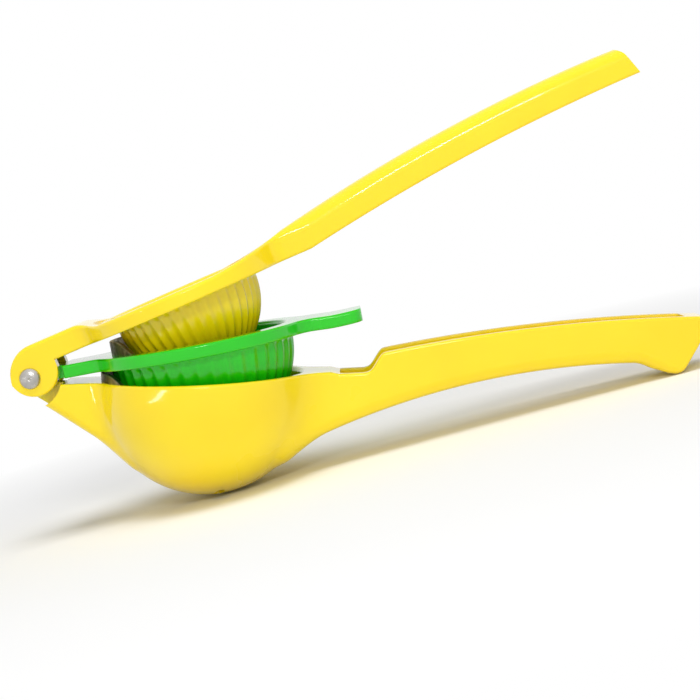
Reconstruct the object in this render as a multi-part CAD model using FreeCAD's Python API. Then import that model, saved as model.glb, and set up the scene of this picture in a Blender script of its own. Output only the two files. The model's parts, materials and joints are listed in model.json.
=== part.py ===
"""Hinged lemon squeezer: a cup arm, a fluted insert and a press arm that turn on one rivet.

Each arm is drawn closed, with the hinge axis on Y through the origin, X towards the handles and Z square
to the rims. It is then opened to its resting angle, and the whole squeezer is laid on a table: the bowl and
the hook of the lower handle touch Z = 0.
"""
import FreeCAD, Part
import math
import os

V = FreeCAD.Vector

# Arms as they rest, in degrees from closed
insert_opening = 8.2
press_opening = 12.6

# Rims, shared by the three arms
hinge_to_bowl = 54.8
rim_radius = 34.6
stage_gap = 0.3
insert_plate = 4.2
press_rim_height = 4.8

# Hinge
hub_width = 24.0
ear_width = 4.6
insert_ear_width = 3.2
side_gap = 0.3
rivet_radius = 2.4
running_gap = 0.06
head_radius = 3.4
head_height = 1.7
ear_back = 6.2
ear_front = 9.6
ear_below = 6.5
hub_top = 9.9
knuckle_radius = 5.9
swing_gap = 0.4
hub_length = 21.5
hub_fall = 6.5
cup_hub_drop = 6.4
cup_hub_slope = 35.2

# Cup
cup_wall = 3.0
cup_depth = 39.0
cup_slots = 4
cup_slot_turn = 20.0
cup_slot_width = 3.0
cup_slot_start = 7.0
cup_slot_end = 12.5

# Insert
insert_bowl_radius = 29.9
insert_wall = 2.4
insert_slots = 8
insert_slot_turn = 22.5
insert_slot_width = 2.6
insert_slot_start = 5.0
insert_slot_end = 13.0
tab_reach = 108.0
tab_root_width = 21.0
tab_tip_width = 19.0
tab_corner = 4.0
tab_bend_length = 11.0
tab_rise = 0.7

# Press dome, with its hollow open on top
dome_radius = 24.1
dome_wall = 2.6
basin_floor_radius = 26.6
basin_floor_rise = 1.2
basin_radius = 28.0
basin_rise = 2.5
basin_mouth = 30.6

# Flutes of the dome and of the insert's bowl
flute_count = 40
flute_cutter = 1.5
flute_depth = 0.7
flute_angle = 46.0

# Blends between hub, rim and handle, seen from above
press_hub_blend = 7.0
insert_hub_blend = 4.0
cup_hub_blend = 3.5
handle_blend = 6.5

# Press handle, an inverted channel
press_reach = 218.2
press_root_width = 22.0
press_tip_width = 18.0
press_rise_start = 68.0
press_rise_end = 92.0
press_rise_height = 11.6
press_tip_height = 22.4
press_tip_slant = 4.2
press_tip_round = 3.0
press_crown_bow = 3.3
press_flat_end = 99.0
press_tip_under = 12.3
press_under_bow = 2.6
press_wall = 2.6
channel_start = 96.5

# Lower handle, a channel open on top
cup_reach = 217.6
cup_tip_slant = 0.7
cup_root_width = 22.0
cup_tip_width = 18.0
recess_drop = 0.7
recess_length = 3.5
tab_end_gap = 0.8
step_low_radius = 4.0
step_high_radius = 3.0
step_slope = 60.0
step_height = 6.4
cup_tip_height = 10.0
cup_tip_face = 5.0
cup_top_bow = 2.4
cup_under_start = 80.0
cup_under_start_height = -28.4
cup_under_end = 194.0
cup_under_height = -4.4
cup_under_bow = 6.8
hook_from_tip = 10.4
hook_height = -4.2
hook_round = 4.2
channel_share = 0.52
cup_handle_wall = 2.8

# Guards of bare metal on the hinge side of the insert and of the cup
guard_thickness = 1.6
insert_guard_radius = 29.0
insert_guard_height = 4.4
insert_guard_flat = 2.6
insert_guard_length = 8.6
cup_guard_radius = 33.4
cup_guard_height = 2.9
cup_guard_flat = 3.0
cup_guard_length = 8.4

# Heights of the stacked stages when closed
plate_top = insert_plate / 2
plate_under = -insert_plate / 2
press_under = plate_top + stage_gap
press_rim_top = press_under + press_rim_height
cup_rim = plate_under - stage_gap

hub_half = hub_width / 2
fork_half = hub_half - ear_width
insert_tongue_half = fork_half - side_gap
lug_slot_half = insert_tongue_half - insert_ear_width
lug_half = lug_slot_half - side_gap
ear_centre = (ear_front - ear_back) / 2
swing_radius = math.hypot(ear_front, press_under) + swing_gap
bowl_centre = V(hinge_to_bowl, 0, 0)
rim_end = hinge_to_bowl + rim_radius
tab_flat = tab_reach - tab_bend_length
cup_channel_start = rim_end + channel_share * (tab_reach - rim_end)
tall = 4 * rim_radius


def xz(x, z):
    return V(x, 0, z)


def line(a, b):
    return Part.makeLine(a, b)


def arc(a, b, c):
    return Part.Arc(a, b, c).toShape()


def bow_point(a, b, bow):
    """The middle of an arc from a to b that stands bow above its chord."""
    chord = b - a
    side = V(-chord.z, 0, chord.x)
    side.normalize()
    return (a + b) * 0.5 + side * bow


def bow_arc(a, b, bow):
    return arc(a, bow_point(a, b, bow), b)


def side_plate(edges, half_width):
    """A plate whose outline is drawn in XZ, from -half_width to half_width in Y."""
    face = Part.Face(Part.Wire(edges))
    face.translate(V(0, -half_width, 0))
    return face.extrude(V(0, 2 * half_width, 0))


def slab(x0, x1, half_width, z0, z1):
    return Part.makeBox(x1 - x0, 2 * half_width, z1 - z0, V(x0, -half_width, z0))


def pin_bar(radius, half_width, x=0.0, z=0.0):
    return Part.makeCylinder(radius, 2 * half_width, V(x, -half_width, z), V(0, 1, 0))


def ball(radius, height):
    return Part.makeSphere(radius, V(hinge_to_bowl, 0, height))


def disc(radius, z0, z1):
    return Part.makeCylinder(radius, z1 - z0, V(hinge_to_bowl, 0, z0))


def bow_circle(a, b, bow):
    return Part.Circle(a, bow_point(a, b, bow), b)


def blend_centre(half_width, radius, side):
    """Centre of a blend touching the rim circle and the flank at -half_width, on one side of the bowl."""
    off = half_width + radius
    run = math.sqrt((rim_radius + radius) ** 2 - off**2)
    return V(hinge_to_bowl + side * run, -off, 0)


def on_circle(centre, towards, radius):
    step = towards - centre
    step.normalize()
    return centre + step * radius


def flank_touch(centre, radius, corner):
    """Where a straight flank from corner touches the blend circle."""
    step = corner - centre
    turn = math.atan2(step.y, step.x) + math.acos(radius / step.Length)
    return centre + V(math.cos(turn), math.sin(turn), 0) * radius


def arc_middle(centre, a, b, radius):
    return on_circle(centre, (a + b) * 0.5, radius)


def plan(x_start, hub_blend, root_width, x_end, end_width, z0, z1):
    """The outline seen from above, hub, rim and handle in one smooth line, as a solid from z0 to z1."""
    hub_centre = blend_centre(hub_half, hub_blend, -1)
    bar_centre = blend_centre(root_width / 2, handle_blend, 1)
    corner = V(x_end, -end_width / 2, 0)
    hub_a = V(hub_centre.x, -hub_half, 0)
    hub_b = on_circle(bowl_centre, hub_centre, rim_radius)
    bar_a = on_circle(bowl_centre, bar_centre, rim_radius)
    bar_b = flank(root_width, x_end, end_width)[0]
    start = V(x_start, -hub_half, 0)
    near = [
        line(start, hub_a),
        arc(hub_a, arc_middle(hub_centre, hub_a, hub_b, hub_blend), hub_b),
        arc(hub_b, bowl_centre - V(0, rim_radius, 0), bar_a),
        arc(bar_a, arc_middle(bar_centre, bar_a, bar_b, handle_blend), bar_b),
        line(bar_b, corner),
    ]
    far = [edge.mirror(V(0, 0, 0), V(0, 1, 0)) for edge in near]
    ends = [
        line(corner, V(corner.x, -corner.y, 0)),
        line(start, V(start.x, -start.y, 0)),
    ]
    wire = Part.Wire(Part.__sortEdges__(near + far + ends))
    face = Part.Face(wire)
    face.translate(V(0, 0, z0))
    return face.extrude(V(0, 0, z1 - z0))


def taper(x0, half0, x1, half1):
    """A straight tapering bar seen from above."""
    points = [V(x0, -half0, -tall), V(x1, -half1, -tall), V(x1, half1, -tall), V(x0, half0, -tall)]
    face = Part.Face(Part.makePolygon(points + points[:1]))
    return face.extrude(V(0, 0, 2 * tall))


def ear(half_width):
    """The press arm's ear around the rivet, rounded below and behind, up to the rim's underside."""
    back = xz(-ear_back, 0)
    front = xz(ear_front, 0)
    low = xz(ear_centre, -ear_below)
    edges = [arc(back, low, front), line(front, xz(ear_front, press_under))]
    shoulder = xz(-ear_back, press_under)
    edges += [line(xz(ear_front, press_under), shoulder), line(shoulder, back)]
    return side_plate(edges, half_width)


def flutes(radius, height, shift=0.0, outside=True):
    """Meridian grooves round a bowl's ball, from its rim to flute_angle below."""
    reach = flute_cutter - flute_depth
    ring = radius + reach if outside else radius - reach
    cutters = []
    for k in range(flute_count):
        turn = 360.0 * (k + shift) / flute_count
        groove = Part.makeTorus(ring, flute_cutter, V(0, 0, 0), V(0, 1, 0), -180, 180, flute_angle)
        groove.rotate(V(0, 0, 0), V(0, 1, 0), 90)
        groove.rotate(V(0, 0, 0), V(0, 0, 1), turn)
        groove.translate(V(hinge_to_bowl, 0, height))
        cutters.append(groove)
    return Part.makeCompound(cutters)


def slots(count, turn, width, start, end):
    """Radial drain slots with round ends, cut straight down."""
    cutters = []
    for k in range(count):
        slot = Part.makeBox(end - start, width, tall, V(start, -width / 2, -tall))
        for x in (start, end):
            slot = slot.fuse(Part.makeCylinder(width / 2, tall, V(x, 0, -tall)))
        slot.rotate(V(0, 0, 0), V(0, 0, 1), turn + 360.0 * k / count)
        slot.translate(bowl_centre)
        cutters.append(slot)
    return Part.makeCompound(cutters)


def guard(radius, height, flat, length, base, gap=0.0):
    """A low wall along the rim on the hinge side, highest in the middle and running out to both ends."""
    back = hinge_to_bowl - radius
    crest = base + height + gap
    relief = gap and crest**2 / 2 / back
    hollow = disc(radius - guard_thickness - gap - relief, base - 1, crest + 1)
    ring = disc(radius + gap, base, crest).cut(hollow)
    end = back + length + gap
    shoulder = back + flat + gap
    middle = xz((shoulder + end) / 2 + height / 5, base + 0.66 * (height + gap))
    edges = [
        line(xz(back - gap - 1, base), xz(back - gap - 1, crest)),
        line(xz(back - gap - 1, crest), xz(shoulder, crest)),
        arc(xz(shoulder, crest), middle, xz(end, base)),
        line(xz(end, base), xz(back - gap - 1, base)),
    ]
    return ring.common(side_plate(edges, rim_radius))


def insert_guard(gap=0.0):
    return guard(
        insert_guard_radius, insert_guard_height, insert_guard_flat, insert_guard_length, plate_top, gap
    )


def cup_guard(gap=0.0):
    return guard(cup_guard_radius, cup_guard_height, cup_guard_flat, cup_guard_length, cup_rim, gap)


def flank(root_width, x_end, end_width):
    """The near straight side of a handle: where it leaves the blend, and its corner at the tip."""
    corner = V(x_end, -end_width / 2, 0)
    return flank_touch(blend_centre(root_width / 2, handle_blend, 1), handle_blend, corner), corner


def channel_bar(start, end, root_width, x_end, end_width, wall):
    """The inside of a handle's channel seen from above, one wall in from its sides."""
    touch, corner = flank(root_width, x_end, end_width)
    slope = (corner.y - touch.y) / (corner.x - touch.x)
    halves = [-touch.y - slope * (x - touch.x) - wall for x in (start, end)]
    return taper(start, halves[0], end, halves[1])


def press_crown():
    """The two ends of the handle's crown and how far it bows up between them."""
    rise_b = xz(press_rise_end, press_rise_height)
    return rise_b, xz(press_reach - press_tip_slant, press_tip_height), press_crown_bow


def press_side():
    """The press arm from the side."""
    rise_b, top_corner, bow = press_crown()
    under_corner = xz(press_reach, press_tip_under)
    rise_a = xz(press_rise_start, press_rim_top)
    back = xz(-ear_back, press_under)
    round_end = xz(hub_top - ear_back, hub_top)
    turn = math.radians(135)
    lean = xz(round_end.x + hub_top * math.cos(turn), hub_top * math.sin(turn))
    hub_end = xz(hub_length, hub_top)
    fall_end = xz(hub_length + hub_fall, press_rim_top)
    bend = xz(press_flat_end, press_under)
    return [
        arc(back, lean, round_end),
        line(round_end, hub_end),
        bow_arc(hub_end, fall_end, -hub_fall / 12),
        line(fall_end, rise_a),
        bow_arc(rise_a, rise_b, -press_rise_height / 20),
        bow_arc(rise_b, top_corner, bow),
        line(top_corner, under_corner),
        bow_arc(bend, under_corner, press_under_bow),
        line(bend, back),
    ]


def press_channel():
    """The hollow under the press handle's crown, open below."""
    crown = bow_circle(*press_crown())
    end = press_reach - press_tip_slant - press_wall
    hollow = channel_bar(channel_start, end, press_root_width, press_reach, press_tip_width, press_wall)
    return hollow.common(pin_bar(crown.Radius - press_wall, rim_radius, crown.Center.x, crown.Center.z))


def basin():
    """The hollow of the dome: a half ball, a shallow floor, a steep wall and a bevelled mouth."""
    inner = dome_radius - dome_wall
    steps = [(0, 0), (inner, 0), (basin_floor_radius, basin_floor_rise), (basin_radius, basin_rise)]
    steps += [(basin_mouth, press_rim_height), (basin_mouth, tall), (0, tall), (0, 0)]
    face = Part.Face(Part.makePolygon([xz(hinge_to_bowl + r, press_under + h) for r, h in steps]))
    return face.revolve(bowl_centre, V(0, 0, 1), 360).fuse(ball(inner, press_under))


def press_arm():
    body = side_plate(press_side(), rim_radius + 1)
    widths = (press_root_width, press_reach, press_tip_width)
    body = body.common(plan(-2 * ear_back, press_hub_blend, *widths, -tall, tall))
    corner = press_crown()[1]
    tip = [e for e in body.Edges if e.Length > hub_half and (e.CenterOfMass - corner).Length < 0.01]
    body = body.makeFillet(press_tip_round, tip)
    body = body.fuse(ear(hub_half))
    body = body.fuse(ball(dome_radius, press_under).common(disc(dome_radius + 1, -tall, press_under)))
    body = body.cut(basin())
    body = body.cut(flutes(dome_radius, press_under))
    body = body.cut(press_channel())
    body = body.cut(slab(-2 * ear_back, swing_gap, fork_half, -tall, tall))
    body = body.cut(pin_bar(knuckle_radius + swing_gap, fork_half))
    body = body.cut(slab(0, ear_front + 1, fork_half, -tall, press_under))
    body = body.cut(insert_guard(stage_gap))
    return body.cut(pin_bar(rivet_radius, hub_half + 1))


def insert_side():
    """The insert's plate from the side, its tab curving up a little."""
    lift = xz(tab_reach, plate_top + tab_rise)
    drop = xz(tab_reach, plate_under + tab_rise)
    bend_top = xz(tab_flat, plate_top)
    bend_under = xz(tab_flat, plate_under)
    top = [line(xz(0, plate_top), bend_top), bow_arc(bend_top, lift, -tab_rise / 5), line(lift, drop)]
    under = [bow_arc(bend_under, drop, -tab_rise / 5), line(bend_under, xz(0, plate_under))]
    return top + under + [line(xz(0, plate_under), xz(0, plate_top))]


def insert():
    plate = side_plate(insert_side(), rim_radius + 1)
    plate = plate.common(plan(-1, insert_hub_blend, tab_root_width, tab_reach, tab_tip_width, -tall, tall))
    end = [e for e in plate.Edges if abs(e.CenterOfMass.x - tab_reach) < 1e-3]
    corners = [e for e in end if abs(e.CenterOfMass.y) > 1 and e.Length < 2 * insert_plate]
    plate = plate.makeFillet(tab_corner, corners)
    full = plate.cut(pin_bar(swing_radius, hub_half + 1)).cut(slab(-1, ear_centre, hub_half + 1, -tall, tall))
    tongue = slab(0, swing_radius + insert_plate, insert_tongue_half, plate_under, plate_top)
    body = full.fuse(tongue).fuse(pin_bar(knuckle_radius, insert_tongue_half))
    bowl = ball(insert_bowl_radius, plate_under).common(disc(insert_bowl_radius + 1, -tall, plate_under))
    body = body.fuse(bowl)
    inner = insert_bowl_radius - insert_wall
    body = body.cut(ball(inner, plate_under)).cut(disc(inner, plate_under, plate_top + 1))
    body = body.cut(flutes(insert_bowl_radius, plate_under))
    body = body.cut(flutes(inner, plate_under, 0.5, False))
    drains = slots(insert_slots, insert_slot_turn, insert_slot_width, insert_slot_start, insert_slot_end)
    body = body.cut(drains)
    body = body.cut(pin_bar(knuckle_radius + swing_gap, lug_slot_half))
    body = body.cut(slab(-2 * knuckle_radius, 0, lug_slot_half, -tall, tall))
    body = body.cut(cup_guard(stage_gap))
    return body.cut(pin_bar(rivet_radius + running_gap, hub_half))


def step_edges(start, end_height, end_slope):
    """A smooth step up from start: an arc, a steep run and an arc back to the slope that follows."""
    steep = math.radians(step_slope)
    low = start + V(step_low_radius * math.sin(steep), 0, step_low_radius * (1 - math.cos(steep)))
    low_middle = start + V(
        step_low_radius * math.sin(steep / 2), 0, step_low_radius * (1 - math.cos(steep / 2))
    )
    high_rise = step_high_radius * (math.cos(end_slope) - math.cos(steep))
    high_run = step_high_radius * (math.sin(steep) - math.sin(end_slope))
    climb = end_height - high_rise - low.z
    high = low + V(climb / math.tan(steep), 0, climb)
    end = high + V(high_run, 0, high_rise)
    half = (steep + end_slope) / 2
    middle_run = step_high_radius * (math.sin(steep) - math.sin(half))
    middle_rise = step_high_radius * (math.cos(half) - math.cos(steep))
    high_middle = high + V(middle_run, 0, middle_rise)
    return [arc(start, low_middle, low), line(low, high), arc(high, high_middle, end)], end


def hook_centre():
    return xz(cup_reach - hook_from_tip, hook_height)


def cup_underside():
    return xz(cup_under_start, cup_under_start_height), xz(cup_under_end, cup_under_height), cup_under_bow


def touch(point, centre, radius, side):
    """Where a line from point touches a circle in XZ, on the given side."""
    step = centre - point
    turn = math.atan2(step.z, step.x) + side * math.asin(radius / step.Length)
    reach = math.sqrt(step.Length**2 - radius**2)
    return point + xz(reach * math.cos(turn), reach * math.sin(turn))


def cup_side():
    """The lower handle from the side."""
    under_a, under_b, under_bow = cup_underside()
    tip = xz(cup_reach - cup_tip_slant, cup_tip_height)
    tip_under = xz(cup_reach, cup_tip_face)
    shelf = cup_rim - recess_drop
    step_start = xz(tab_reach + tab_end_gap - step_low_radius / 2, shelf)
    run = tip.x - step_start.x
    end_slope = (tip.z - shelf - step_height + 4 * cup_top_bow) / run
    step, step_end = step_edges(step_start, shelf + step_height, end_slope)
    flat_end = xz(cup_channel_start - recess_length, cup_rim)
    dip_end = xz(cup_channel_start, shelf)
    centre = hook_centre()
    hook_a = touch(tip_under, centre, hook_round, 1)
    hook_b = touch(under_b, centre, hook_round, -1)
    top_start = xz(under_a.x, cup_rim)
    top = [line(top_start, flat_end), line(flat_end, dip_end), line(dip_end, step_start)] + step
    end = [bow_arc(step_end, tip, cup_top_bow), line(tip, tip_under), line(tip_under, hook_a)]
    under = [arc(hook_a, centre - xz(0, hook_round), hook_b), line(hook_b, under_b)]
    return top + end + under + [bow_arc(under_a, under_b, under_bow), line(under_a, top_start)]


def cup_hub(half_width):
    """The hub's slope from the hinge down to the bowl."""
    slope = math.tan(math.radians(cup_hub_slope))
    end = hinge_to_bowl / 2
    low = xz(end, -cup_hub_drop - slope * end)
    bottom = [xz(0, -cup_hub_drop), low, xz(hinge_to_bowl, low.z)]
    corners = [xz(0, cup_rim)] + bottom + [xz(hinge_to_bowl, cup_rim)]
    return side_plate(Part.makePolygon(corners + corners[:1]).Edges, half_width)


def cup_channel():
    """The hollow of the lower handle, open on top, with a floor one wall above the underside."""
    floor = bow_circle(*cup_underside())
    end = cup_under_end
    hollow = channel_bar(cup_channel_start, end, cup_root_width, cup_reach, cup_tip_width, cup_handle_wall)
    return hollow.cut(pin_bar(floor.Radius + cup_handle_wall, rim_radius, floor.Center.x, floor.Center.z))


def cup_arm():
    ball_height = cup_rim - cup_depth + rim_radius
    rim = plan(0, cup_hub_blend, cup_root_width, cup_reach, cup_tip_width, ball_height, cup_rim)
    blend_end = flank(cup_root_width, cup_reach, cup_tip_width)[0].x
    rim = rim.cut(slab(blend_end, cup_reach + 1, rim_radius, -tall, tall))
    bowl = ball(rim_radius, ball_height).common(disc(rim_radius + 1, -tall, ball_height))
    sides = channel_bar(cup_under_start, cup_reach, cup_root_width, cup_reach, cup_tip_width, 0)
    bar = side_plate(cup_side(), rim_radius).common(sides).cut(cup_channel())
    body = bowl.fuse([rim, cup_hub(hub_half)]).cut(pin_bar(swing_radius, hub_half + 1))
    body = body.fuse([bar, pin_bar(knuckle_radius, lug_half), cup_hub(lug_half)])
    inner = rim_radius - cup_wall
    body = body.cut(ball(inner, ball_height).fuse(disc(inner, ball_height, cup_rim + 1)))
    body = body.cut(slots(cup_slots, cup_slot_turn, cup_slot_width, cup_slot_start, cup_slot_end))
    return body.cut(pin_bar(rivet_radius + running_gap, lug_half + 1))


def rivet_head(side):
    """A domed head seated on the ear's outer face."""
    rise = (head_radius**2 + head_height**2) / 2 / head_height
    dome = Part.makeSphere(rise, V(0, side * (hub_half + head_height - rise), 0))
    base = Part.makeCylinder(head_radius, head_height, V(0, side * hub_half, 0), V(0, side, 0))
    return dome.common(base)


def hinge_pin():
    return pin_bar(rivet_radius, hub_half).fuse(rivet_head(-1))


def pin_cap():
    return rivet_head(1)


def lying_angle():
    """How far the closed frame tips down for the bowl and the hook to touch the table."""
    bowl = xz(hinge_to_bowl, cup_rim - cup_depth + rim_radius)
    step = hook_centre() - bowl
    return math.degrees(math.atan2(step.z, step.x) + math.asin((rim_radius - hook_round) / step.Length))


def opened(shape, opening):
    shape = shape.copy()
    shape.rotate(V(0, 0, 0), V(0, 1, 0), lying_angle() - opening)
    return shape


# Every piece with how far its arm is opened
arms = {
    "cup_arm": (cup_arm(), 0),
    "cup_guard": (cup_guard(), 0),
    "insert": (insert(), insert_opening),
    "insert_guard": (insert_guard(), insert_opening),
    "press_arm": (press_arm(), insert_opening + press_opening),
    "hinge_pin": (hinge_pin(), insert_opening + press_opening),
    "pin_cap": (pin_cap(), insert_opening + press_opening),
}
laid = {name: opened(shape, opening) for name, (shape, opening) in arms.items()}
box = Part.makeCompound(list(laid.values())).optimalBoundingBox(False, False)
shift = V(-box.Center.x, -box.Center.y, -box.ZMin)

os.makedirs("parts", exist_ok=True)
for name, shape in laid.items():
    shape.translate(shift)
    shape.exportStep("parts/%s.step" % name)
    print(name, len(shape.Solids), round(shape.Volume), "hinge at", [round(c, 3) for c in shift])
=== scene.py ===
import json
import math
import bmesh
import bpy
import numpy as np
from mathutils import Matrix, Vector


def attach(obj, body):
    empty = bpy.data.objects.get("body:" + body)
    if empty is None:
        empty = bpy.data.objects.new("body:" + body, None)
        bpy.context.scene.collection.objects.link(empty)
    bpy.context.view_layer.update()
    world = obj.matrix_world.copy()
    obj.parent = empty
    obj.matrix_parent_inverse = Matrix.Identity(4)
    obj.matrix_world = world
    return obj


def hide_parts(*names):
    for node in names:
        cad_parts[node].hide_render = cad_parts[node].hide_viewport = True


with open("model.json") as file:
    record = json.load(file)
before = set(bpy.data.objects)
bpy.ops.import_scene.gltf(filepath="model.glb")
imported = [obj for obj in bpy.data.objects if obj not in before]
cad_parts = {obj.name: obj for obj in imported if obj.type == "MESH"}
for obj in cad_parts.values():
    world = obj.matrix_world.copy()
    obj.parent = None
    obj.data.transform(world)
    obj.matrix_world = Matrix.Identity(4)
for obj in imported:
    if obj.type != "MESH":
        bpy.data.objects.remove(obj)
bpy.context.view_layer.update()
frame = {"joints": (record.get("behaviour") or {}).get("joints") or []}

# Sizes in millimetres. Each arm is worked out closed:
# x from the hinge to the tip, y across, z square to the rims.
bowl_x = 54.8
rim_r = 34.6
press_under = 2.4
press_top = 7.2
plate_top = 2.1
plate_under = -2.1
cup_rim = -2.4
cup_ball_z = -6.8
hub_half = 12.0
fork_half = 7.4
tongue_half = 7.1
lug_slot = 3.9
lug_half = 3.6
knuckle = 5.9
cup_swing = 9.9
insert_swing = 10.9
flutes = 40
press_hub_blend = 7.0
insert_hub_blend = 4.0
handle_blend = 6.5
handle_root = 11.0
handle_tip = 9.0
handle_start = 89.0
press_tip_x = 218.2
cup_tip_x = 217.6
tab_tip_x = 108.0
tab_root = 10.5
tab_tip = 9.5
crown_ear = 9.9
crown_ear_x = 3.7
hub_end = 19.0
hub_fall_end = 28.0
press_rise = (68.0, press_top)
press_step = (92.0, 11.6)
belly_step = (99.0, press_under)
dome_r = 24.1
dome_inner = 21.5
bowl_r = 29.9
bowl_inner = 27.5
cup_inner = 31.6
handle_wall = 2.8
arch_start = (80.0, -28.4)
arch_end = (194.0, -4.4)
guard_wall = 1.6
lug_gap = 0.4
recess_gap = 0.3
shank_r = 2.4
insert_opening = 8.2
press_opening = 20.8
hinge = np.array(frame["joints"][0]["pos_m"]) * 1000
hook = (207.2, -4.2, 4.2)
tilt = math.atan2(hook[1] - cup_ball_z, hook[0] - bowl_x)
reach = math.hypot(hook[1] - cup_ball_z, hook[0] - bowl_x)
lying = tilt + math.asin((rim_r - hook[2]) / reach)
opening = {"cup": 0.0, "insert": math.radians(insert_opening), "press": math.radians(press_opening)}


# Curves

def smooth(a, b, x):
    """0 below a, 1 above b, and an S curve between them."""
    t = np.clip((x - a) / (b - a), 0, 1)
    return t * t * (3 - 2 * t)


def bowed(x, a, b, bow):
    """Height at x of the circular arc from a to b whose middle stands bow above the chord."""
    a, b = np.array(a, float), np.array(b, float)
    chord = b - a
    length = np.hypot(*chord)
    side = np.array([-chord[1], chord[0]]) / length
    radius = (length**2 / 4 + bow**2) / (2 * abs(bow))
    sign = math.copysign(1, bow)
    cx, cz = (a + b) / 2 + side * (bow - sign * radius)
    return cz + sign * np.sqrt(np.maximum(radius**2 - (x - cx) ** 2, 0))


def pick(x, *parts):
    """A height made of stretches: pairs of (upper limit of x, values)."""
    return np.select([x <= limit for limit, _ in parts], [values for _, values in parts], parts[-1][1])


def half_width(x, root, tip, tip_x, hub_blend):
    """Half the width of an arm seen from above: hub, blend, rim circle, blend, tapering handle."""
    hub_c = bowl_x - math.sqrt((rim_r + hub_blend) ** 2 - (hub_half + hub_blend) ** 2)
    bar_c = bowl_x + math.sqrt((rim_r + handle_blend) ** 2 - (root + handle_blend) ** 2)
    hub_t = bowl_x + (hub_c - bowl_x) * rim_r / (rim_r + hub_blend)
    bar_t = bowl_x + (bar_c - bowl_x) * rim_r / (rim_r + handle_blend)
    slope = (tip - root) / (tip_x - bar_c)
    leave = bar_c - handle_blend * slope
    hub_arc = hub_half + hub_blend - np.sqrt(np.maximum(hub_blend**2 - (x - hub_c) ** 2, 0))
    bar_arc = root + handle_blend - np.sqrt(np.maximum(handle_blend**2 - (x - bar_c) ** 2, 0))
    return pick(
        x,
        (hub_c, np.full_like(x, hub_half)),
        (hub_t, hub_arc),
        (bar_t, np.sqrt(np.maximum(rim_r**2 - (x - bowl_x) ** 2, 0))),
        (leave, bar_arc),
        (1e9, root + slope * (x - leave)),
    )


def stations(*stretches):
    """Stations along x: each stretch is (start, end, step), and joins the one before."""
    runs = [np.linspace(a, b, max(2, round(abs(b - a) / step)), endpoint=False) for a, b, step in stretches]
    return np.append(np.concatenate(runs), stretches[-1][1])


def rounded_loop(corners, radii, steps=5):
    """Closed sections with every corner rounded by an arc.

    corners is stations x corners x 2 and radii is stations x corners. At a corner the arc's centre lies on
    the bisector, r / sin(half the angle) in, and its points turn evenly from edge to edge.
    """
    back = np.roll(corners, 1, axis=1) - corners
    ahead = np.roll(corners, -1, axis=1) - corners
    back /= np.linalg.norm(back, axis=2, keepdims=True) + 1e-12
    ahead /= np.linalg.norm(ahead, axis=2, keepdims=True) + 1e-12
    half = np.arccos(np.clip((back * ahead).sum(2), -1, 1)) / 2
    middle = back + ahead
    middle /= np.linalg.norm(middle, axis=2, keepdims=True) + 1e-12
    centre = corners + middle * (radii / np.maximum(np.sin(half), 1e-6))[..., None]
    start = corners + back * (radii / np.maximum(np.tan(half), 1e-6))[..., None] - centre
    end = corners + ahead * (radii / np.maximum(np.tan(half), 1e-6))[..., None] - centre
    turn = np.maximum(math.pi - 2 * half, 1e-6)[..., None, None]
    t = np.linspace(0, 1, steps)[None, None, :, None]
    points = (np.sin((1 - t) * turn) * start[:, :, None] + np.sin(t * turn) * end[:, :, None]) / np.sin(turn)
    return (centre[:, :, None] + points).reshape(len(corners), -1, 2)


def box_corners(w, low, top):
    """The four corners of upright rectangles w half wide, from low to top."""
    return np.stack([np.stack([w, low], -1), np.stack([w, top], -1), np.stack([-w, top], -1),
                     np.stack([-w, low], -1)], 1)


def bar_sections(w, low, top, r_top, r_low, steps=6):
    """Rounded rectangles w half wide, from low to top."""
    limit = np.minimum((top - low) * 0.48, w * 0.9)
    a, b = np.minimum(r_low, limit), np.minimum(r_top, limit)
    return rounded_loop(box_corners(w, low, top), np.stack([a, b, b, a], 1), steps)


# Skins: pairs of points and faces

def grid_faces(rows, columns):
    """Quads of a grid of points, whose last column joins the first."""
    r, c = np.meshgrid(np.arange(rows - 1), np.arange(columns), indexing="ij")
    r2, c2 = r + 1, (c + 1) % columns
    quads = np.stack([r * columns + c, r * columns + c2, r2 * columns + c2, r2 * columns + c], -1)
    return [tuple(q) for q in quads.reshape(-1, 4).tolist()]


def end_faces(rows, points):
    """The flat faces that close the first and the last row of a grid."""
    return [tuple(range(points)), tuple(range(rows * points - 1, (rows - 1) * points - 1, -1))]


def pole_faces(rows, turns):
    """Triangles from the first and the last row of a grid to the two poles that follow its points."""
    first, last, base = rows * turns, rows * turns + 1, (rows - 1) * turns
    top = [(first, (k + 1) % turns, k) for k in range(turns)]
    return top + [(last, base + k, base + (k + 1) % turns) for k in range(turns)]


def loft(x, sections, lean=None):
    """A closed skin through sections (stations x points x (y, z)) standing at x, with flat ends."""
    count, points = sections.shape[:2]
    xs = np.repeat(x[:, None], points, axis=1)
    if lean is not None:
        xs = xs + lean(xs, sections[..., 1])
    verts = np.stack([xs, sections[..., 0], sections[..., 1]], -1).reshape(-1, 3)
    faces = grid_faces(count, points)
    faces.append(tuple(range(points - 1, -1, -1)))
    faces.append(tuple(range((count - 1) * points, count * points)))
    return verts, faces


def prism(outline, half):
    """A side outline of points (x, z) carried from -half to half across."""
    x, z = np.array(outline, float).T
    n = len(x)
    verts = np.vstack([np.stack([x, np.full(n, y), z], -1) for y in (-half, half)])
    return verts, grid_faces(2, n) + end_faces(2, n)


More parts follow.
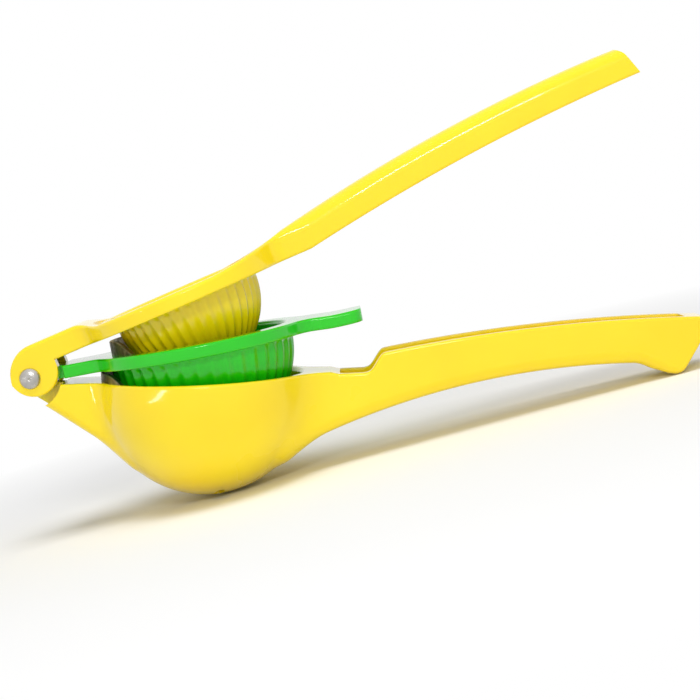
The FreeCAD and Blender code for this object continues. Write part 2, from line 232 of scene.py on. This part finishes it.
def turned(profile, turns, dent=None):
    """A closed surface of revolution about the bowl's axis. profile: points x (r, z), from pole to pole.

    dent(angle, index, r, z) gives new r and z.
    """
    angle = np.linspace(0, 2 * math.pi, turns, endpoint=False)
    r = np.repeat(profile[1:-1, 0][:, None], turns, axis=1)
    z = np.repeat(profile[1:-1, 1][:, None], turns, axis=1)
    index = np.repeat(np.arange(1, len(profile) - 1)[:, None], turns, axis=1)
    a = np.repeat(angle[None], len(profile) - 2, axis=0)
    if dent is not None:
        r, z = dent(a, index, r, z)
    verts = np.stack([bowl_x + r * np.cos(a), r * np.sin(a), z], -1).reshape(-1, 3)
    rows = len(profile) - 2
    poles = np.array([[bowl_x, 0, profile[0, 1]], [bowl_x, 0, profile[-1, 1]]])
    return np.vstack([verts, poles]), grid_faces(rows, turns) + pole_faces(rows, turns)


def arc_points(centre, radius, start, end, count):
    """Points of an arc, angles in degrees from the first axis."""
    a = np.radians(np.linspace(start, end, count))
    return np.stack([centre[0] + radius * np.cos(a), centre[1] + radius * np.sin(a)], -1)


def shells(*parts):
    """Several closed skins as one set of points and faces."""
    verts, faces, count = [], [], 0
    for v, f in parts:
        verts.append(v)
        faces += [tuple(i + count for i in face) for face in f]
        count += len(v)
    return np.vstack(verts), faces


def fluted(ball_r, ball_z, first, last, count, depth, inside=False):
    """A ball's stretch of a profile with round-bottomed grooves that fade towards the pole."""
    def dent(a, index, r, z):
        down = np.arctan2(ball_z - z, r)
        wave = (0.5 - 0.5 * np.cos(count * a)) ** 0.8
        fade = smooth(0.0, 0.06, down) * (1 - smooth(math.radians(48), math.radians(64), down))
        on = (index >= first) & (index <= last)
        cut = depth * wave * fade * on * (-1 if inside else 1)
        scale = (np.hypot(r, z - ball_z) - cut) / np.maximum(np.hypot(r, z - ball_z), 1e-9)
        return np.where(on, r * scale, r), np.where(on, ball_z + (z - ball_z) * scale, z)
    return dent


def drain_tools(count, turn, width, start, end, z0, z1):
    """Radial slots with round ends, as upright prisms from z0 to z1."""
    tools = []
    for k in range(count):
        a = math.radians(turn + 360 / count * k)
        far_end = arc_points((end, 0), width / 2, -90, 90, 9)
        near_end = arc_points((start, 0), width / 2, 90, 270, 9)
        ends = np.vstack([far_end, near_end])
        x = bowl_x + ends[:, 0] * math.cos(a) - ends[:, 1] * math.sin(a)
        y = ends[:, 0] * math.sin(a) + ends[:, 1] * math.cos(a)
        n = len(x)
        verts = np.vstack([np.stack([x, y, np.full(n, z)], -1) for z in (z0, z1)])
        tools.append((verts, grid_faces(2, n) + end_faces(2, n)))
    return shells(*tools)


# Objects

def place(verts, body):
    """From an arm's closed frame in millimetres to the resting object in metres."""
    a = opening[body] - lying
    c, s = math.cos(a), math.sin(a)
    x = verts[:, 0] * c - verts[:, 2] * s + hinge[0]
    z = verts[:, 0] * s + verts[:, 2] * c + hinge[2]
    return np.stack([x, verts[:, 1] + hinge[1], z], -1) / 1000


def skin_mesh(name, skin, body):
    """A mesh from a skin, with its faces turned outwards."""
    verts, faces = skin
    mesh = bpy.data.meshes.new(name)
    mesh.from_pydata(place(verts, body).tolist(), [], faces)
    bm = bmesh.new()
    bm.from_mesh(mesh)
    bmesh.ops.remove_doubles(bm, verts=bm.verts, dist=2e-6)
    bmesh.ops.recalc_face_normals(bm, faces=bm.faces)
    bm.to_mesh(mesh)
    bm.free()
    return mesh


def carve(mesh, body, tools):
    """A mesh with every tool's skin cut out of it."""
    for skin in tools:
        work = bpy.data.objects.new("work", mesh)
        tool = bpy.data.objects.new("tool", skin_mesh("tool", skin, body))
        for obj in (work, tool):
            bpy.context.scene.collection.objects.link(obj)
        cut = work.modifiers.new("cut", "BOOLEAN")
        cut.operation = "DIFFERENCE"
        cut.solver = "EXACT"
        cut.object = tool
        graph = bpy.context.evaluated_depsgraph_get()
        mesh = bpy.data.meshes.new_from_object(work.evaluated_get(graph))
        for obj in (work, tool):
            bpy.data.objects.remove(obj)
    return mesh


def merged(meshes):
    """Several meshes as one."""
    bm = bmesh.new()
    for mesh in meshes:
        bm.from_mesh(mesh)
    out = bpy.data.meshes.new("merged")
    bm.to_mesh(out)
    bm.free()
    return out


def piece(name, parts, body, material, replaced, sharp=32):
    """One named piece from parts, each a skin and the tools cut out of it.

    Edges over the sharp angle, in degrees, stay crisp.
    """
    mesh = merged([carve(skin_mesh(name, skin, body), body, tools) for skin, tools in parts])
    mesh.name = name
    mesh.materials.clear()
    mesh.materials.append(material)
    mesh.polygons.foreach_set("use_smooth", [True] * len(mesh.polygons))
    mesh.polygons.foreach_set("material_index", [0] * len(mesh.polygons))
    mesh.set_sharp_from_angle(angle=math.radians(sharp))
    obj = bpy.data.objects.new(name, mesh)
    bpy.context.scene.collection.objects.link(obj)
    weighted = obj.modifiers.new("even_shading", "WEIGHTED_NORMAL")
    weighted.keep_sharp = True
    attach(obj, body)
    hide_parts(*replaced)
    return obj


# Guards

def guard(outer, base, height, flat, length, gap=0.0):
    """A crescent wall: a thin upright section carried round the rim, its height running out at both ends."""
    back = bowl_x - outer
    end = math.acos((outer - length - gap) / outer)
    a = np.linspace(math.pi - end, math.pi + end, 90)
    x_out = bowl_x + outer * np.cos(a)
    share = np.clip((x_out - back - flat - gap) / (length - flat), 0, 1)
    h = np.maximum((height + gap) * (1 - share**1.7), 0.03)
    r_out, r_in = outer + gap, outer - guard_wall - 2.4 * gap
    low = base - gap
    o = np.ones_like(a)
    corners = np.stack([np.stack([r_out * o, low * o], -1), np.stack([r_out * o, base + h], -1),
                        np.stack([r_in * o, base + h], -1), np.stack([r_in * o, low * o], -1)], 1)
    r = np.minimum(0.4, h * 0.45)
    loop = rounded_loop(corners, np.stack([0.01 * o, r, r, 0.01 * o], 1), 5)
    x = bowl_x + loop[..., 0] * np.cos(a)[:, None]
    y = loop[..., 0] * np.sin(a)[:, None]
    rows, points = loop.shape[:2]
    verts = np.stack([x, y, loop[..., 1]], -1).reshape(-1, 3)
    return verts, grid_faces(rows, points) + end_faces(rows, points)


def insert_guard(gap=0.0):
    """The wall standing on the insert's plate."""
    return guard(29.0, plate_top, 4.4, 2.6, 8.6, gap)


def cup_guard(gap=0.0):
    """The wall standing on the cup's rim."""
    return guard(33.4, cup_rim, 2.9, 3.0, 8.4, gap)


# Press arm

def press_crown(x):
    """The press arm's top: round ear, flat hub, fall to the rim, rise into the handle, long bow."""
    ear = np.sqrt(np.maximum(crown_ear**2 - np.minimum(x - crown_ear_x, 0) ** 2, 0))
    fall = crown_ear + (press_top - crown_ear) * smooth(hub_end, hub_fall_end, x)
    rise = bowed(x, press_rise, press_step, -0.6)
    bow = bowed(x, press_step, (214.0, 22.4), 3.3)
    flat = np.full_like(x, press_top)
    hub = [(hub_end, ear), (hub_fall_end, fall)]
    return pick(x, *hub, (press_rise[0], flat), (press_step[0], rise), (1e9, bow))


def press_belly(x):
    """The press arm's underside: round under the ear, flat behind the rim, then a long bow."""
    ear = 1.55 - np.sqrt(np.maximum(8.05**2 - (x - 1.7) ** 2, 0))
    flat = np.full_like(x, press_under)
    bow = bowed(x, belly_step, (press_tip_x, 12.3), 2.6)
    return pick(x, (9.6, ear), (belly_step[0], flat), (1e9, bow))


def fork_tool():
    """The room between the ears: behind the hub, round the knuckles and below the web."""
    edge = arc_points((0, 0), 6.3, 22.4, 86.4, 14)
    start = [(-30, -20), (10.6, -20), (10.6, press_under)]
    return prism(start + edge.tolist() + [(0.4, 20), (-30, 20)], fork_half)


def basin_tool():
    """The hollow over the dome: through the web, a shallow floor, a steep wall, a bevelled mouth."""
    floor = [[0, 1.0], [21.9, 1.0], [21.9, 2.9], [22.3, 3.2], [26.4, 3.45], [27.1, 3.75], [27.6, 4.4]]
    mouth = [[28.4, 6.0], [29.0, 6.75], [29.8, 7.1], [30.6, 7.21], [30.7, 14.0], [0, 14.0]]
    return turned(np.array(floor + mouth), 240)


def dome():
    """The fluted half ball below the web, hollow inside."""
    inner = arc_points((0, press_under), dome_inner, -90, 0, 40)
    edge = arc_points((21.75, 3.1), 0.25, 180, 90, 4)
    lip = np.vstack([[[dome_inner, 3.0]], edge, [[23.4, 3.3], [24.0, 2.9]]])
    outer = arc_points((0, press_under), dome_r, 0, -90, 60)
    profile = np.vstack([inner, lip, outer])
    first = len(profile) - len(outer)
    return turned(profile, 480, fluted(dome_r, press_under, first, len(profile), flutes, 0.75))


def press_width(x):
    """Half the press arm's width seen from above."""
    return half_width(x, handle_root, handle_tip, press_tip_x, press_hub_blend)


def tip_lean(low, top):
    """A slant for a bar's end: the higher a point, the further back it goes, most of all at the top edge."""
    def lean(xs, z):
        share = np.clip((z - low[:, None]) / (top - low)[:, None], 0, 1)
        edge = np.clip((share - 0.7) / 0.3, 0, 1) ** 2
        return (-1.0 - 3.2 * share - 1.6 * edge) * smooth(200.0, press_tip_x, xs)
    return lean


def press_bar():
    """Ears, hub, ring and handle as one bar with a rounded section."""
    x = stations(
        (-6.2, -4.5, 0.12), (-4.5, 9.59, 0.5), (9.59, 9.61, 0.02), (9.61, 15.0, 0.8), (15.0, 36.0, 0.35),
        (36.0, 76.0, 1.0), (76.0, 104.0, 0.35), (104.0, 205.0, 1.6), (205.0, press_tip_x, 0.4),
    )
    top, low = press_crown(x), press_belly(x)
    top = np.maximum(top, low + 0.3)
    shoulder = 1.3 + 3.4 * smooth(86.0, 104.0, x)
    section = bar_sections(press_width(x), low, top, shoulder, 0.8, 8)
    return loft(x, section, tip_lean(low, top))


def press_channel():
    """The hollow under the handle, one wall in from its sides and crown, with round ends."""
    x = stations((98.0, 101.0, 0.3), (101.0, 206.0, 1.6), (206.0, 211.0, 0.3))
    ends = np.sqrt(1 - np.clip(np.maximum((101.0 - x) / 3.0, (x - 208.0) / 3.0), 0, 0.99) ** 2)
    top, low = press_crown(x) - handle_wall, press_belly(x)
    roof = low + (top - low) * (0.25 + 0.75 * ends)
    w = (press_width(x) - 2.6) - 2.5 * (1 - ends)
    return loft(x, bar_sections(w, low - 6.0, roof, 2.0, 0.3))


# Insert

def insert_plate():
    """Ring, hub and tab as one flat bar, the tab curving up a little and its end rounded."""
    x = stations(
        (10.0, 36.0, 0.35), (36.0, 76.0, 1.0), (76.0, 96.0, 0.35), (96.0, 104.0, 0.7), (104.0, 107.0, 0.3),
        (107.0, tab_tip_x, 0.06),
    )
    w = half_width(x, tab_root, tab_tip, tab_tip_x, insert_hub_blend)
    corner = np.clip((x - 104.0) / 4.0, 0, 1)
    w = w - 4.0 * (1 - np.sqrt(1 - corner**2 * 0.999)) - 1.0 * (1 - smooth(10.0, 11.2, x))
    rise = 0.4 * np.clip((x - 97.0) / 11.0, 0, 1) ** 2 - 0.35 * smooth(90.0, 99.0, x)
    return loft(x, bar_sections(w, plate_under + rise, plate_top + rise, 0.9, 0.9))


def insert_tongue():
    """The round knuckle and the flat tongue that joins it to the plate."""
    round_back = arc_points((0, 0), knuckle, 20.6, 339.4, 60)
    tongue = [(12.0, -2.07), (12.0, 2.07)]
    return prism(round_back.tolist() + tongue, tongue_half)


def lug_room():
    """The slot in the tongue for the cup's lug."""
    edge = arc_points((0, 0), knuckle + lug_gap, -90, 90, 30)
    return prism([(-20, -20), (0, -20)] + edge.tolist() + [(0, 20), (-20, 20)], lug_slot)


def swing_room(radius):
    """The round clearance for the ears' swing, right across the hub."""
    return prism(arc_points((0, 0), radius, 0, 358, 120), 20)


def insert_mouth():
    """The hole through the plate, with a soft lip."""
    profile = np.vstack([[[0, -4.0], [28.0, -4.0], [28.0, 1.2]], arc_points((28.9, 1.2), 0.9, 180, 90, 6),
                         [[29.4, 2.13], [29.5, 4.0], [0, 4.0]]])
    return turned(profile, 240)


def insert_bowl():
    """The fluted half ball under the plate, fluted inside as well."""
    inner = arc_points((0, plate_under), bowl_inner, -90, 0, 60)
    edge = arc_points((27.85, 1.0), 0.35, 180, 70, 4)
    lip = np.vstack([[[bowl_inner, 0.9]], edge, [[29.0, 1.0], [29.8, 0.4]]])
    outer = arc_points((0, plate_under), bowl_r, 0, -90, 60)
    profile = np.vstack([inner, lip, outer])
    first = len(profile) - len(outer)
    out = fluted(bowl_r, plate_under, first, len(profile), flutes, 0.8)
    inn = fluted(bowl_inner, plate_under, 0, len(inner), flutes, 0.5, True)

    def dent(a, index, r, z):
        r, z = out(a, index, r, z)
        return inn(a + math.pi / flutes, index, r, z)

    return turned(profile, 480, dent)


# Cup arm

def cup_top(x):
    """The lower arm's top: rim level, a shallow rest for the tab, a smooth step up, a long bow."""
    rest = cup_rim - 0.7 * smooth(95.5, 99.0, x)
    climb = 6.4 * (smooth(106.6, 115.0, x) * 0.5 + smooth(108.4, 113.4, x) * 0.5)
    bow = bowed(x, (114.5, 3.3), (216.9, 10.0), 2.4)
    share = smooth(112.6, 116.2, x)
    return (rest + climb) * (1 - share) + bow * share


def cup_belly(x):
    """The lower arm's underside: a long arch out of the bowl, then the hook under the tip."""
    arch = bowed(x, arch_start, arch_end, 6.8)
    cx, cz, r = hook
    slide = arch_end[1] - 0.33 * (x - arch_end[0]) * smooth(192.0, 200.0, x)
    round_end = cz - np.sqrt(np.maximum(r**2 - (x - cx) ** 2, 0))
    climb = 5.0 - 1.67 * (cup_tip_x - x)
    hooked = np.where(x < cx - 1.3, slide, np.where(x < cx + 3.5, round_end, climb))
    return np.where(x < arch_end[0], arch, hooked)


def hub_belly(x):
    """The underside of the cup's hub, a straight slope down to the bowl."""
    return -6.4 - math.tan(math.radians(35.2)) * x


def cup_handle_half(x):
    """Half the lower handle's width seen from above."""
    share = np.clip((x - handle_start) / (cup_tip_x - handle_start), 0, 1)
    return handle_root - (handle_root - handle_tip) * share


def blended(a, b, ease):
    """The lower of two distances, eased into each other where they differ by less than ease."""
    share = np.maximum(ease - np.abs(a - b), 0) / ease
    return np.minimum(a, b) - share**2 * ease / 4


def bar_distance(y, z, w, low, radius, lean):
    """Distance from a bar w half wide whose underside is at low and whose lower edges are rounded."""
    across = np.abs(y) - (w - radius)
    down = (low - z) * lean + radius
    outside = np.hypot(np.maximum(across, 0), np.maximum(down, 0))
    return outside + np.minimum(np.maximum(across, down), 0) - radius


def cup_distance(x, y, z):
    """Distance from the cup arm's outside: bowl, hub and handle, eased into each other."""
    bowl = np.sqrt((x - bowl_x) ** 2 + y**2 + np.minimum(z - cup_ball_z, 0) ** 2) - rim_r
    edge = 4.2 - 1.6 * smooth(196.0, 210.0, x) - 1.4 * smooth(206.0, 216.0, x)
    edge = np.minimum(edge, (cup_top(x) - cup_belly(x)) * 0.42)
    slant = 0.97 - 0.1 * (1 - smooth(85.0, 120.0, x))
    handle = bar_distance(y, z, cup_handle_half(x), cup_belly(x), edge, slant)
    handle = handle + 25 * (1 - smooth(60.0, 82.0, x))
    hub = bar_distance(y, z, hub_half, hub_belly(x), np.minimum(3.0, (cup_rim - hub_belly(x)) * 0.4), 0.82)
    hub = hub + 25 * smooth(30.0, 50.0, x)
    return blended(blended(bowl, handle, 9.0), hub, 5.0)


def cup_outside():
    """The cup arm's outer skin.

    At every station the section is walked round below a middle height, and each point is moved out along its
    ray until it meets the eased distance of bowl, hub and handle. A rounded edge closes it above.
    """
    x = stations(
        (2.0, 18.0, 0.8), (18.0, 30.0, 0.3), (30.0, 46.0, 0.8), (46.0, 74.0, 1.2), (74.0, 84.0, 0.6),
        (84.0, 104.0, 0.35), (104.0, 118.0, 0.35), (118.0, 192.0, 1.6), (192.0, cup_tip_x, 0.4),
    )
    top = cup_top(x)
    low = np.where(x < bowl_x, hub_belly(x), cup_belly(x))
    middle = np.maximum(cup_ball_z, (top + low) / 2)
    ray = np.linspace(0, math.pi, 97)
    xs = np.repeat(x[:, None], len(ray), axis=1)
    near, far = np.zeros_like(xs), np.full_like(xs, 60.0)
    for _ in range(40):
        half = (near + far) / 2
        inside = cup_distance(xs, half * np.cos(ray), middle[:, None] - half * np.sin(ray)) < 0
        near, far = np.where(inside, half, near), np.where(inside, far, half)
    lower = np.stack([near * np.cos(ray), middle[:, None] - near * np.sin(ray)], -1)
    w = near[:, 0]
    turn = np.linspace(0, math.pi / 2, 8)
    r = np.minimum(1.0, (top - middle) * 0.8)[:, None]
    rise_y = -w[:, None] + r * (1 - np.cos(turn))
    rise_z = top[:, None] - r * (1 - np.sin(turn))
    left = np.stack([rise_y, rise_z], -1)
    right = np.stack([-rise_y[:, ::-1], rise_z[:, ::-1]], -1)
    section = np.concatenate([lower, left, right], axis=1)

    def lean(xs, z):
        share = np.clip((z - 5.0) / 5.0, 0, 1)
        return -0.75 * share * smooth(214.0, cup_tip_x, xs)

    return loft(x, section, lean)


def cup_hollow():
    """The bowl's inside, with a soft lip at the rim."""
    ball = arc_points((0, cup_ball_z), cup_inner, -90, 0, 60)
    lip = arc_points((33.2, cup_rim - 1.6), 1.6, 180, 90, 9)
    above = [[33.6, cup_rim + 0.02], [33.7, 4.0], [0, 4.0]]
    return turned(np.vstack([ball, [[cup_inner, -4.8]], lip, above]), 240)


def handle_hollow():
    """The channel along the lower handle, open on top, with a soft lip."""
    x = stations((99.0, 101.0, 0.2), (101.0, 208.0, 1.0), (208.0, 211.0, 0.2))
    top = cup_top(x)
    ends = np.sqrt(1 - np.clip(np.maximum((101.0 - x) / 2.0, (x - 209.0) / 2.0), 0, 0.995) ** 2)
    w = (cup_handle_half(x) - handle_wall) - 2.0 * (1 - ends)
    floor = cup_belly(x) + handle_wall
    floor = np.minimum(floor, top - 2.5) + (top - floor) * 0.35 * (1 - ends)
    corners = np.stack([
        np.stack([w, floor], -1), np.stack([w, top - 0.8], -1), np.stack([w + 0.25, top - 0.25], -1),
        np.stack([w + 0.9, top + 0.02], -1), np.stack([w + 1.0, top + 8], -1),
        np.stack([-w - 1.0, top + 8], -1), np.stack([-w - 0.9, top + 0.02], -1),
        np.stack([-w - 0.25, top - 0.25], -1), np.stack([-w, top - 0.8], -1), np.stack([-w, floor], -1)], 1)
    soft = np.full(len(x), 0.02)
    bottom = np.minimum(2.4, (top - floor) * 0.3)
    radii = np.stack([bottom] + [soft] * 8 + [bottom], 1)
    return loft(x, rounded_loop(corners, radii, 6))


def cup_lug():
    """The middle knuckle and its web, running down into the hub."""
    round_back = arc_points((0, 0), knuckle, -24, 262.4, 70)
    foot = [(16.0, hub_belly(16.0) + 0.6), (16.0, cup_rim - 0.05)]
    return prism(round_back.tolist() + foot, lug_half)


# Hinge

def rivet_head(side):
    """A domed head: a shallow cap of a ball with a rolled edge and a small dimple."""
    r = np.array([0, 0.22, 0.36, 0.55, 0.9, 1.3, 1.8, 2.3, 2.7, 3.0, 3.2, 3.35, 3.4, 3.4, 0])
    h = np.array([1.28, 1.32, 1.5, 1.6, 1.62, 1.58, 1.48, 1.33, 1.14, 0.92, 0.68, 0.42, 0.25, 0.0, 0.0])
    a = np.linspace(0, 2 * math.pi, 48, endpoint=False)
    x = r[1:-1, None] * np.cos(a)
    z = r[1:-1, None] * np.sin(a)
    y = np.repeat(side * (hub_half + h[1:-1, None]), len(a), axis=1)
    verts = np.stack([x, y, z], -1).reshape(-1, 3)
    rows, turns = len(r) - 2, len(a)
    verts = np.vstack([verts, [[0, side * (hub_half + h[0]), 0], [0, side * hub_half, 0]]])
    return verts, grid_faces(rows, turns) + pole_faces(rows, turns)


def shank():
    """The rivet's shank, a plain round bar across the hinge."""
    return prism(arc_points((0, 0), shank_r, 0, 351, 40), hub_half)


# Materials

def linear(*rgb):
    """sRGB 0-255 to linear."""
    c = np.array(rgb) / 255
    return tuple(np.where(c <= 0.04045, c / 12.92, ((c + 0.055) / 1.055) ** 2.4).tolist())


def node(tree, kind, **values):
    """One shader node with its inputs or settings set by name."""
    n = tree.nodes.new(kind)
    for key, value in values.items():
        if key in n.inputs:
            n.inputs[key].default_value = value
        else:
            setattr(n, key, value)
    return n


def remap(tree, source, low, high, out_low=0.0, out_high=1.0):
    """A value stretched from low..high to the given outputs."""
    n = node(tree, "ShaderNodeMapRange")
    for key, value in (("From Min", low), ("From Max", high), ("To Min", out_low), ("To Max", out_high)):
        n.inputs[key].default_value = value
    tree.links.new(source, n.inputs["Value"])
    return n.outputs["Result"]


def two_tone(tree, factor, one, other):
    """A colour between two, by the factor."""
    mix = node(tree, "ShaderNodeMix", data_type="RGBA")
    mix.inputs[6].default_value = (*one, 1)
    mix.inputs[7].default_value = (*other, 1)
    tree.links.new(factor, mix.inputs[0])
    return mix.outputs[2]


def enamel(name, colour, deep):
    """Thick gloss enamel over a casting: pooled a little darker in clouds, with a faint orange peel."""
    m = bpy.data.materials.new(name)
    m.use_nodes = True
    t = m.node_tree
    shader = t.nodes["Principled BSDF"]
    where = node(t, "ShaderNodeTexCoord").outputs["Object"]
    cloud = node(t, "ShaderNodeTexNoise", Scale=32.0, Detail=3.0)
    peel = node(t, "ShaderNodeTexNoise", Scale=330.0, Detail=2.0)
    for texture in (cloud, peel):
        t.links.new(where, texture.inputs["Vector"])
    factor = remap(t, cloud.outputs["Fac"], 0.38, 0.72)
    t.links.new(two_tone(t, factor, colour, deep), shader.inputs["Base Color"])
    t.links.new(remap(t, cloud.outputs["Fac"], 0.3, 0.7, 0.26, 0.34), shader.inputs["Roughness"])
    bump = node(t, "ShaderNodeBump", Strength=0.04, Distance=0.0004)
    t.links.new(peel.outputs["Fac"], bump.inputs["Height"])
    t.links.new(bump.outputs["Normal"], shader.inputs["Normal"])
    shader.inputs["Specular IOR Level"].default_value = 0.15
    shader.inputs["Coat Weight"].default_value = 0.9
    shader.inputs["Coat Roughness"].default_value = 0.06
    return m


def metal(name, light, dark, rough, scale, scratches):
    """Bare metal mottled between two greys, with fine scratches along the piece."""
    m = bpy.data.materials.new(name)
    m.use_nodes = True
    t = m.node_tree
    shader = t.nodes["Principled BSDF"]
    where = node(t, "ShaderNodeTexCoord").outputs["Object"]
    cloud = node(t, "ShaderNodeTexNoise", Scale=scale, Detail=5.0)
    t.links.new(where, cloud.inputs["Vector"])
    stretch = node(t, "ShaderNodeMapping")
    stretch.inputs["Scale"].default_value = (260.0, 260.0, 2600.0)
    t.links.new(where, stretch.inputs["Vector"])
    line = node(t, "ShaderNodeTexNoise", Scale=1.0, Detail=2.0)
    t.links.new(stretch.outputs["Vector"], line.inputs["Vector"])
    mottle = remap(t, cloud.outputs["Fac"], 0.35, 0.65)
    t.links.new(two_tone(t, mottle, light, dark), shader.inputs["Base Color"])
    bump = node(t, "ShaderNodeBump", Strength=scratches, Distance=0.0002)
    t.links.new(line.outputs["Fac"], bump.inputs["Height"])
    t.links.new(bump.outputs["Normal"], shader.inputs["Normal"])
    worn = remap(t, cloud.outputs["Fac"], 0.3, 0.7, rough * 0.8, rough * 1.3)
    t.links.new(worn, shader.inputs["Roughness"])
    shader.inputs["Metallic"].default_value = 1.0
    return m


yellow = enamel("yellow_enamel", linear(252, 224, 10), linear(251, 217, 6))
green = enamel("green_enamel", linear(24, 200, 6), linear(18, 188, 5))
bare = metal("bare_metal", linear(150, 139, 112), linear(74, 64, 42), 0.42, 300.0, 0.35)
steel = metal("rivet_steel", linear(206, 203, 198), linear(168, 165, 160), 0.26, 120.0, 0.0)

press_tools = [basin_tool(), fork_tool(), insert_guard(recess_gap), press_channel()]
press_parts = [(press_bar(), press_tools), (dome(), [])]
piece("press_casting", press_parts, "press", yellow, ["press_arm"])

insert_drains = drain_tools(8, 22.5, 2.6, 5.0, 13.0, -40, -20)
plate_tools = [insert_mouth(), swing_room(insert_swing), cup_guard(recess_gap)]
tongue_part = (insert_tongue(), [lug_room()])
insert_parts = [(insert_plate(), plate_tools), tongue_part, (insert_bowl(), [insert_drains])]
piece("insert_casting", insert_parts, "insert", green, ["insert"])

cup_drains = drain_tools(4, 20.0, 3.0, 7.0, 12.5, -60, -20)
cup_tools = [cup_hollow(), swing_room(cup_swing), cup_drains, handle_hollow()]
cup_parts = [(cup_outside(), cup_tools), (cup_lug(), [])]
piece("cup_casting", cup_parts, "cup", yellow, ["cup_arm"])

piece("rivet", [(rivet_head(-1), []), (shank(), [])], "press", steel, ["hinge_pin"])
piece("rivet_cap", [(rivet_head(1), [])], "press", steel, ["pin_cap"])
piece("insert_crescent", [(insert_guard(), [])], "insert", bare, ["insert_guard"])
piece("cup_crescent", [(cup_guard(), [])], "cup", bare, ["cup_guard"])


# Floor, lights and camera

def to_object(point, a):
    """From the photograph's attitude (hinge at the origin, millimetres) to the resting object in metres."""
    c, s = math.cos(a), math.sin(a)
    x, y, z = point
    return Vector(((x * c - z * s + hinge[0]) / 1000, y / 1000, (x * s + z * c + hinge[2]) / 1000))


def seen_white(tree):
    """1 for camera rays, mirror reflections and rays through glass, 0 for the rest."""
    path = node(tree, "ShaderNodeLightPath")
    seen = path.outputs["Is Camera Ray"]
    for ray in ("Is Glossy Ray", "Is Transmission Ray"):
        most = node(tree, "ShaderNodeMath", operation="MAXIMUM")
        tree.links.new(seen, most.inputs[0])
        tree.links.new(path.outputs[ray], most.inputs[1])
        seen = most.outputs[0]
    return seen


floor_mesh = bpy.data.meshes.new("floor")
floor_mesh.from_pydata([(-6, -6, 0), (6, -6, 0), (6, 6, 0), (-6, 6, 0)], [], [(0, 1, 2, 3)])
floor = bpy.data.objects.new("floor", floor_mesh)
floor.location.z = -0.0002
bpy.context.scene.collection.objects.link(floor)
floor_material = bpy.data.materials.new("floor_white")
floor_material.use_nodes = True
tree = floor_material.node_tree
paper = tree.nodes["Principled BSDF"]
paper.inputs["Base Color"].default_value = (0.93, 0.93, 0.93, 1)
paper.inputs["Roughness"].default_value = 0.9
paper.inputs["Specular IOR Level"].default_value = 0.0
glow = node(tree, "ShaderNodeEmission", Color=(1, 1, 1, 1), Strength=1.0)
away = node(tree, "ShaderNodeVectorMath", operation="LENGTH")
tree.links.new(node(tree, "ShaderNodeTexCoord").outputs["Object"], away.inputs[0])
far_off = remap(tree, away.outputs["Value"], 0.14, 0.3)
share = node(tree, "ShaderNodeMath", operation="MULTIPLY")
tree.links.new(far_off, share.inputs[0])
tree.links.new(seen_white(tree), share.inputs[1])
blend = node(tree, "ShaderNodeMixShader")
tree.links.new(share.outputs[0], blend.inputs[0])
tree.links.new(paper.outputs[0], blend.inputs[1])
tree.links.new(glow.outputs[0], blend.inputs[2])
tree.links.new(blend.outputs[0], tree.nodes["Material Output"].inputs["Surface"])
floor_mesh.materials.append(floor_material)

world = bpy.data.worlds.new("studio")
bpy.context.scene.world = world
world.use_nodes = True
tree = world.node_tree
background = tree.nodes["Background"]
background.inputs["Color"].default_value = (1, 1, 1, 1)
tree.links.new(remap(tree, seen_white(tree), 0.0, 1.0, 0.34, 1.0), background.inputs["Strength"])


def area(name, place_at, aim, size, power, height=None, in_gloss=True):
    """A soft lamp, square or as high as given, which may be kept out of the gloss."""
    data = bpy.data.lights.new(name, "AREA")
    data.size = size
    if height:
        data.shape = "RECTANGLE"
        data.size_y = height
    data.energy = power
    obj = bpy.data.objects.new(name, data)
    bpy.context.scene.collection.objects.link(obj)
    obj.location = place_at
    obj.rotation_euler = (Vector(aim) - Vector(place_at)).to_track_quat("-Z", "Y").to_euler()
    obj.visible_glossy = in_gloss


def mirrored(point, normal, distance):
    """Where a lamp shows in the gloss at a point with the given normal, seen from the eye."""
    view = (eye - point).normalized()
    return point + (2 * normal.dot(view) * normal - view) * distance


photo_roll = 2.55
eye_place = (96.33, -600.0, 59.84)
target_place = (102.33, 0.0, 8.09)
pixels_per_mm = 3.067
frame_pixels = 700
sensor_mm = 36
turn = -(lying + math.radians(photo_roll))
eye = to_object(eye_place, turn)
target = to_object(target_place, turn)
up = to_object((0, 0, 1000), turn) - to_object((0, 0, 0), turn)
forward = (target - eye).normalized()
right = forward.cross(up).normalized()
upward = right.cross(forward)
camera_data = bpy.data.cameras.new("camera")
camera_data.lens = pixels_per_mm * (target - eye).length * 1000 / frame_pixels * sensor_mm
camera_data.clip_start = 0.01
camera_data.clip_end = 50
camera = bpy.data.objects.new("camera", camera_data)
bpy.context.scene.collection.objects.link(camera)
camera.matrix_world = Matrix((
    (right.x, upward.x, -forward.x, eye.x),
    (right.y, upward.y, -forward.y, eye.y),
    (right.z, upward.z, -forward.z, eye.z),
    (0, 0, 0, 1),
))
bpy.context.scene.camera = camera

area("overhead", (0.02, -0.22, 0.9), (0, 0, 0.04), 0.5, 5.0, in_gloss=False)
area("front", (0.0, -1.0, 0.16), (0, 0, 0.05), 0.7, 2.6, in_gloss=False)
area("shoulder", (0.05, -0.95, 0.47), (0.02, 0, 0.08), 0.24, 1.8, height=0.07)
gloss_height = -4.4
lamp_distance = 0.8
for x in (43.0, 57.0):
    slope = (x - bowl_x) / rim_r
    depth = math.sqrt(1 - slope**2)
    spot = to_object((x, -rim_r * depth, gloss_height), -lying)
    facing = (to_object((slope, -depth, 0), -lying) - to_object((0, 0, 0), -lying)).normalized()
    area("window", mirrored(spot, facing, lamp_distance), spot, 0.42, 0.22, height=0.008)

bpy.context.scene.view_settings.view_transform = "Standard"
